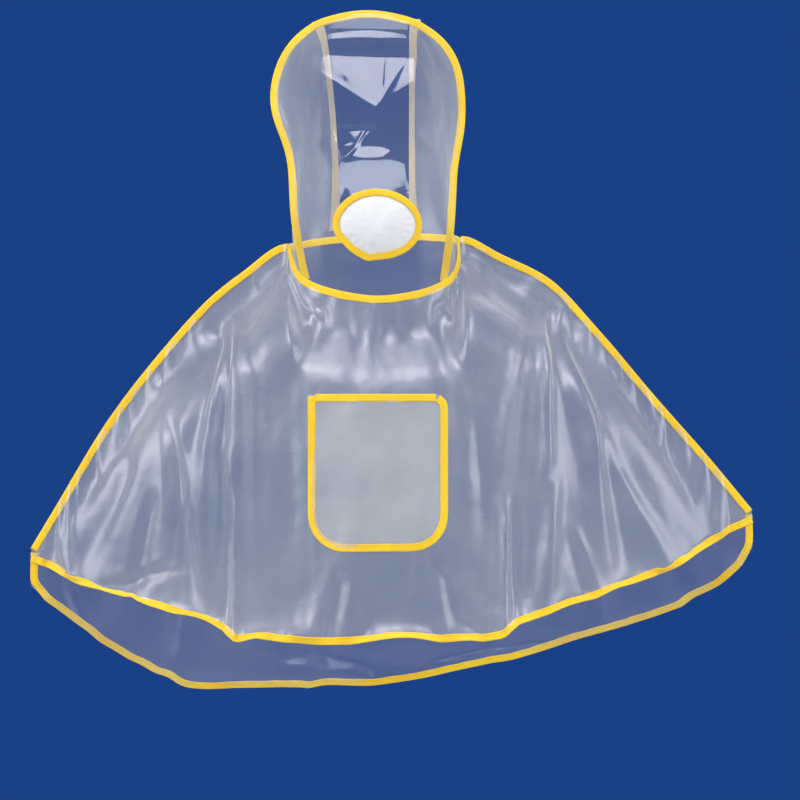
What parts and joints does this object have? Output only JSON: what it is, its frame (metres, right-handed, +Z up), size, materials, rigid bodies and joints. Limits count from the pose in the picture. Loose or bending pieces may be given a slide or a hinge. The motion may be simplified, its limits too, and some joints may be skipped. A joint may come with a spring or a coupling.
{
  "type": "hooded see-through salon cape",
  "caption": "See-through pull-over salon cape with an attached hood, a clear face shield with a cloth breathing patch, a chest pocket and taped edges.",
  "frame": {"origin": "middle of the neck ring, level with the shoulder seams beside the neck", "axes": "+X across the cape from the wearer's right to the wearer's left, -Y towards the front, +Z up"},
  "size_m": [0.9975, 0.2987, 0.943],
  "materials": {
    "frosted_film": "frosted translucent film, soft sheen",
    "clear_film": "clear glossy film",
    "seam_tape": "translucent heat-sealed lap",
    "yellow_tape": "folded woven binding tape",
    "patch_cloth": "white non-woven cloth"
  },
  "bodies": {
    "cape": {"front_panel": "frosted_film", "back_panel": "frosted_film", "pocket_panel": "frosted_film", "left_shoulder_binding": "yellow_tape", "right_shoulder_binding": "yellow_tape", "front_hem_binding": "yellow_tape", "back_hem_binding": "yellow_tape", "neck_binding": "yellow_tape", "pocket_edge_binding": "yellow_tape", "pocket_mouth_binding": "yellow_tape"},
    "hood": {"hood_left_panel": "frosted_film", "hood_right_panel": "frosted_film", "hood_crown_panel": "clear_film", "hood_left_seam_tape": "seam_tape", "hood_right_seam_tape": "seam_tape", "face_shield": "clear_film", "face_shield_binding": "yellow_tape", "patch_inner_layer": "patch_cloth", "patch_filter_layer": "patch_cloth", "patch_outer_layer": "patch_cloth", "patch_binding": "yellow_tape"}
  },
  "joints": [
    {"name": "hood_nod", "type": "hinge", "parent": "cape", "child": "hood", "pos_m": [0, 0, 0], "axis": [1, 0, 0], "range_deg": [-9, 9]}
  ]
}
